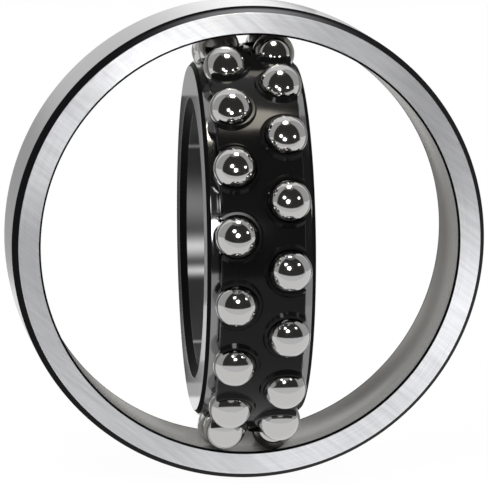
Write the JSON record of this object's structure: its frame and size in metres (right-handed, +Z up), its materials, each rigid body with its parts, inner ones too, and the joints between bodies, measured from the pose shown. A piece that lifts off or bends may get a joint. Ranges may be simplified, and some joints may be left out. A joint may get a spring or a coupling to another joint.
{
  "type": "self-aligning ball bearing",
  "caption": "Self-aligning ball bearing: rows of balls in a cage on a grooved inner ring that swivels freely inside an outer ring with one spherical raceway.",
  "frame": {"origin": "centre of the spherical raceway, which is also the middle of the outer ring and of the inner ring", "axes": "Y along the outer ring's axis with the front face towards -Y, +Z up; the inner group stands swivelled 87.6 degrees about Z, its shaft axis 2.4 degrees off +X"},
  "size_m": [0.09, 0.0808, 0.09],
  "materials": {
    "outer_ring_steel": "ground faces with faint grinding marks, honed raceway and seat",
    "inner_ring_steel": "fine ground and honed, close to a mirror in the bore",
    "ball_steel": "lapped to a mirror",
    "cage_polymer": "smooth black, glossy"
  },
  "bodies": {
    "outer_ring": {"outer_ring": "outer_ring_steel"},
    "cage": {"cage": "cage_polymer"},
    "inner_ring": {"inner_ring": "inner_ring_steel"},
    "ball_left_01": {"ball_left_01": "ball_steel"},
    "ball_left_02": {"ball_left_02": "ball_steel"},
    "ball_left_03": {"ball_left_03": "ball_steel"},
    "ball_left_04": {"ball_left_04": "ball_steel"},
    "ball_left_05": {"ball_left_05": "ball_steel"},
    "ball_left_06": {"ball_left_06": "ball_steel"},
    "ball_left_07": {"ball_left_07": "ball_steel"},
    "ball_left_08": {"ball_left_08": "ball_steel"},
    "ball_left_09": {"ball_left_09": "ball_steel"},
    "ball_left_10": {"ball_left_10": "ball_steel"},
    "ball_left_11": {"ball_left_11": "ball_steel"},
    "ball_left_12": {"ball_left_12": "ball_steel"},
    "ball_left_13": {"ball_left_13": "ball_steel"},
    "ball_left_14": {"ball_left_14": "ball_steel"},
    "ball_left_15": {"ball_left_15": "ball_steel"},
    "ball_left_16": {"ball_left_16": "ball_steel"},
    "ball_left_17": {"ball_left_17": "ball_steel"},
    "ball_left_18": {"ball_left_18": "ball_steel"},
    "ball_right_01": {"ball_right_01": "ball_steel"},
    "ball_right_02": {"ball_right_02": "ball_steel"},
    "ball_right_03": {"ball_right_03": "ball_steel"},
    "ball_right_04": {"ball_right_04": "ball_steel"},
    "ball_right_05": {"ball_right_05": "ball_steel"},
    "ball_right_06": {"ball_right_06": "ball_steel"},
    "ball_right_07": {"ball_right_07": "ball_steel"},
    "ball_right_08": {"ball_right_08": "ball_steel"},
    "ball_right_09": {"ball_right_09": "ball_steel"},
    "ball_right_10": {"ball_right_10": "ball_steel"},
    "ball_right_11": {"ball_right_11": "ball_steel"},
    "ball_right_12": {"ball_right_12": "ball_steel"},
    "ball_right_13": {"ball_right_13": "ball_steel"},
    "ball_right_14": {"ball_right_14": "ball_steel"},
    "ball_right_15": {"ball_right_15": "ball_steel"},
    "ball_right_16": {"ball_right_16": "ball_steel"},
    "ball_right_17": {"ball_right_17": "ball_steel"},
    "ball_right_18": {"ball_right_18": "ball_steel"}
  },
  "joints": [
    {"name": "swivel", "type": "hinge", "parent": "outer_ring", "child": "cage", "pos_m": [0, 0, 0], "axis": [0, 0, 1], "continuous": true},
    {"name": "shaft_spin", "type": "hinge", "parent": "cage", "child": "inner_ring", "pos_m": [0, 0, 0], "axis": [0.9991, -0.0419, 0], "continuous": true},
    {"name": "ball_left_01_spin", "type": "hinge", "parent": "cage", "child": "ball_left_01", "pos_m": [-0.00636, -0.03579, 0.00571], "axis": [0.9849, -0.1718, 0.0207], "continuous": true},
    {"name": "ball_left_02_spin", "type": "hinge", "parent": "cage", "child": "ball_left_02", "pos_m": [-0.00619, -0.03167, 0.01768], "axis": [0.9855, -0.1569, 0.064], "continuous": true},
    {"name": "ball_left_03_spin", "type": "hinge", "parent": "cage", "child": "ball_left_03", "pos_m": [-0.00586, -0.02371, 0.02753], "axis": [0.9867, -0.1281, 0.0997], "continuous": true},
    {"name": "ball_left_04_spin", "type": "hinge", "parent": "cage", "child": "ball_left_04", "pos_m": [-0.0054, -0.01286, 0.03405], "axis": [0.9884, -0.0888, 0.1233], "continuous": true},
    {"name": "ball_left_05_spin", "type": "hinge", "parent": "cage", "child": "ball_left_05", "pos_m": [-0.00488, -0.00043, 0.03647], "axis": [0.9903, -0.0438, 0.132], "continuous": true},
    {"name": "ball_left_06_spin", "type": "hinge", "parent": "cage", "child": "ball_left_06", "pos_m": [-0.00436, 0.01207, 0.03449], "axis": [0.9922, 0.0014, 0.1249], "continuous": true},
    {"name": "ball_left_07_spin", "type": "hinge", "parent": "cage", "child": "ball_left_07", "pos_m": [-0.00389, 0.02314, 0.02835], "axis": [0.9939, 0.0415, 0.1026], "continuous": true},
    {"name": "ball_left_08_spin", "type": "hinge", "parent": "cage", "child": "ball_left_08", "pos_m": [-0.00355, 0.03144, 0.01879], "axis": [0.9951, 0.0716, 0.068], "continuous": true},
    {"name": "ball_left_09_spin", "type": "hinge", "parent": "cage", "child": "ball_left_09", "pos_m": [-0.00336, 0.03598, 0.00696], "axis": [0.9958, 0.088, 0.0252], "continuous": true},
    {"name": "ball_left_10_spin", "type": "hinge", "parent": "cage", "child": "ball_left_10", "pos_m": [-0.00335, 0.0362, -0.00571], "axis": [0.9958, 0.0888, -0.0207], "continuous": true},
    {"name": "ball_left_11_spin", "type": "hinge", "parent": "cage", "child": "ball_left_11", "pos_m": [-0.00352, 0.03208, -0.01768], "axis": [0.9952, 0.0739, -0.064], "continuous": true},
    {"name": "ball_left_12_spin", "type": "hinge", "parent": "cage", "child": "ball_left_12", "pos_m": [-0.00385, 0.02411, -0.02753], "axis": [0.994, 0.0451, -0.0997], "continuous": true},
    {"name": "ball_left_13_spin", "type": "hinge", "parent": "cage", "child": "ball_left_13", "pos_m": [-0.00431, 0.01326, -0.03405], "axis": [0.9924, 0.0058, -0.1233], "continuous": true},
    {"name": "ball_left_14_spin", "type": "hinge", "parent": "cage", "child": "ball_left_14", "pos_m": [-0.00483, 0.00084, -0.03647], "axis": [0.9905, -0.0392, -0.132], "continuous": true},
    {"name": "ball_left_15_spin", "type": "hinge", "parent": "cage", "child": "ball_left_15", "pos_m": [-0.00535, -0.01166, -0.03449], "axis": [0.9886, -0.0845, -0.1249], "continuous": true},
    {"name": "ball_left_16_spin", "type": "hinge", "parent": "cage", "child": "ball_left_16", "pos_m": [-0.00582, -0.02273, -0.02835], "axis": [0.9869, -0.1245, -0.1026], "continuous": true},
    {"name": "ball_left_17_spin", "type": "hinge", "parent": "cage", "child": "ball_left_17", "pos_m": [-0.00617, -0.03104, -0.01879], "axis": [0.9856, -0.1546, -0.068], "continuous": true},
    {"name": "ball_left_18_spin", "type": "hinge", "parent": "cage", "child": "ball_left_18", "pos_m": [-0.00636, -0.03557, -0.00696], "axis": [0.9849, -0.171, -0.0252], "continuous": true},
    {"name": "ball_right_01_spin", "type": "hinge", "parent": "cage", "child": "ball_right_01", "pos_m": [0.00341, -0.03466, 0.01188], "axis": [0.9956, 0.0833, -0.043], "continuous": true},
    {"name": "ball_right_02_spin", "type": "hinge", "parent": "cage", "child": "ball_right_02", "pos_m": [0.00367, -0.02853, 0.02296], "axis": [0.9947, 0.061, -0.0831], "continuous": true},
    {"name": "ball_right_03_spin", "type": "hinge", "parent": "cage", "child": "ball_right_03", "pos_m": [0.00407, -0.01897, 0.03127], "axis": [0.9932, 0.0265, -0.1132], "continuous": true},
    {"name": "ball_right_04_spin", "type": "hinge", "parent": "cage", "child": "ball_right_04", "pos_m": [0.00456, -0.00716, 0.03581], "axis": [0.9914, -0.0163, -0.1296], "continuous": true},
    {"name": "ball_right_05_spin", "type": "hinge", "parent": "cage", "child": "ball_right_05", "pos_m": [0.00509, 0.0055, 0.03603], "axis": [0.9895, -0.0622, -0.1304], "continuous": true},
    {"name": "ball_right_06_spin", "type": "hinge", "parent": "cage", "child": "ball_right_06", "pos_m": [0.0056, 0.01747, 0.0319], "axis": [0.9877, -0.1055, -0.1155], "continuous": true},
    {"name": "ball_right_07_spin", "type": "hinge", "parent": "cage", "child": "ball_right_07", "pos_m": [0.00601, 0.0273, 0.02393], "axis": [0.9862, -0.1411, -0.0866], "continuous": true},
    {"name": "ball_right_08_spin", "type": "hinge", "parent": "cage", "child": "ball_right_08", "pos_m": [0.00628, 0.03382, 0.01307], "axis": [0.9852, -0.1647, -0.0473], "continuous": true},
    {"name": "ball_right_09_spin", "type": "hinge", "parent": "cage", "child": "ball_right_09", "pos_m": [0.00638, 0.03624, 0.00064], "axis": [0.9848, -0.1734, -0.0023], "continuous": true},
    {"name": "ball_right_10_spin", "type": "hinge", "parent": "cage", "child": "ball_right_10", "pos_m": [0.0063, 0.03426, -0.01188], "axis": [0.9851, -0.1663, 0.043], "continuous": true},
    {"name": "ball_right_11_spin", "type": "hinge", "parent": "cage", "child": "ball_right_11", "pos_m": [0.00604, 0.02812, -0.02296], "axis": [0.9861, -0.1441, 0.0831], "continuous": true},
    {"name": "ball_right_12_spin", "type": "hinge", "parent": "cage", "child": "ball_right_12", "pos_m": [0.00564, 0.01857, -0.03127], "axis": [0.9875, -0.1095, 0.1132], "continuous": true},
    {"name": "ball_right_13_spin", "type": "hinge", "parent": "cage", "child": "ball_right_13", "pos_m": [0.00515, 0.00675, -0.03581], "axis": [0.9893, -0.0667, 0.1296], "continuous": true},
    {"name": "ball_right_14_spin", "type": "hinge", "parent": "cage", "child": "ball_right_14", "pos_m": [0.00462, -0.0059, -0.03603], "axis": [0.9912, -0.0209, 0.1304], "continuous": true},
    {"name": "ball_right_15_spin", "type": "hinge", "parent": "cage", "child": "ball_right_15", "pos_m": [0.00412, -0.01787, -0.0319], "axis": [0.9931, 0.0225, 0.1155], "continuous": true},
    {"name": "ball_right_16_spin", "type": "hinge", "parent": "cage", "child": "ball_right_16", "pos_m": [0.0037, -0.02771, -0.02393], "axis": [0.9945, 0.0581, 0.0866], "continuous": true},
    {"name": "ball_right_17_spin", "type": "hinge", "parent": "cage", "child": "ball_right_17", "pos_m": [0.00343, -0.03423, -0.01307], "axis": [0.9955, 0.0817, 0.0473], "continuous": true},
    {"name": "ball_right_18_spin", "type": "hinge", "parent": "cage", "child": "ball_right_18", "pos_m": [0.00333, -0.03664, -0.00064], "axis": [0.9959, 0.0904, 0.0023], "continuous": true}
  ],
  "couplings": [
    {"joint": "ball_left_01_spin", "follows": "shaft_spin", "ratio": -8.1971},
    {"joint": "ball_left_02_spin", "follows": "shaft_spin", "ratio": -8.1971},
    {"joint": "ball_left_03_spin", "follows": "shaft_spin", "ratio": -8.1971},
    {"joint": "ball_left_04_spin", "follows": "shaft_spin", "ratio": -8.1971},
    {"joint": "ball_left_05_spin", "follows": "shaft_spin", "ratio": -8.1971},
    {"joint": "ball_left_06_spin", "follows": "shaft_spin", "ratio": -8.1971},
    {"joint": "ball_left_07_spin", "follows": "shaft_spin", "ratio": -8.1971},
    {"joint": "ball_left_08_spin", "follows": "shaft_spin", "ratio": -8.1971},
    {"joint": "ball_left_09_spin", "follows": "shaft_spin", "ratio": -8.1971},
    {"joint": "ball_left_10_spin", "follows": "shaft_spin", "ratio": -8.1971},
    {"joint": "ball_left_11_spin", "follows": "shaft_spin", "ratio": -8.1971},
    {"joint": "ball_left_12_spin", "follows": "shaft_spin", "ratio": -8.1971},
    {"joint": "ball_left_13_spin", "follows": "shaft_spin", "ratio": -8.1971},
    {"joint": "ball_left_14_spin", "follows": "shaft_spin", "ratio": -8.1971},
    {"joint": "ball_left_15_spin", "follows": "shaft_spin", "ratio": -8.1971},
    {"joint": "ball_left_16_spin", "follows": "shaft_spin", "ratio": -8.1971},
    {"joint": "ball_left_17_spin", "follows": "shaft_spin", "ratio": -8.1971},
    {"joint": "ball_left_18_spin", "follows": "shaft_spin", "ratio": -8.1971},
    {"joint": "ball_right_01_spin", "follows": "shaft_spin", "ratio": -8.1971},
    {"joint": "ball_right_02_spin", "follows": "shaft_spin", "ratio": -8.1971},
    {"joint": "ball_right_03_spin", "follows": "shaft_spin", "ratio": -8.1971},
    {"joint": "ball_right_04_spin", "follows": "shaft_spin", "ratio": -8.1971},
    {"joint": "ball_right_05_spin", "follows": "shaft_spin", "ratio": -8.1971},
    {"joint": "ball_right_06_spin", "follows": "shaft_spin", "ratio": -8.1971},
    {"joint": "ball_right_07_spin", "follows": "shaft_spin", "ratio": -8.1971},
    {"joint": "ball_right_08_spin", "follows": "shaft_spin", "ratio": -8.1971},
    {"joint": "ball_right_09_spin", "follows": "shaft_spin", "ratio": -8.1971},
    {"joint": "ball_right_10_spin", "follows": "shaft_spin", "ratio": -8.1971},
    {"joint": "ball_right_11_spin", "follows": "shaft_spin", "ratio": -8.1971},
    {"joint": "ball_right_12_spin", "follows": "shaft_spin", "ratio": -8.1971},
    {"joint": "ball_right_13_spin", "follows": "shaft_spin", "ratio": -8.1971},
    {"joint": "ball_right_14_spin", "follows": "shaft_spin", "ratio": -8.1971},
    {"joint": "ball_right_15_spin", "follows": "shaft_spin", "ratio": -8.1971},
    {"joint": "ball_right_16_spin", "follows": "shaft_spin", "ratio": -8.1971},
    {"joint": "ball_right_17_spin", "follows": "shaft_spin", "ratio": -8.1971},
    {"joint": "ball_right_18_spin", "follows": "shaft_spin", "ratio": -8.1971}
  ]
}
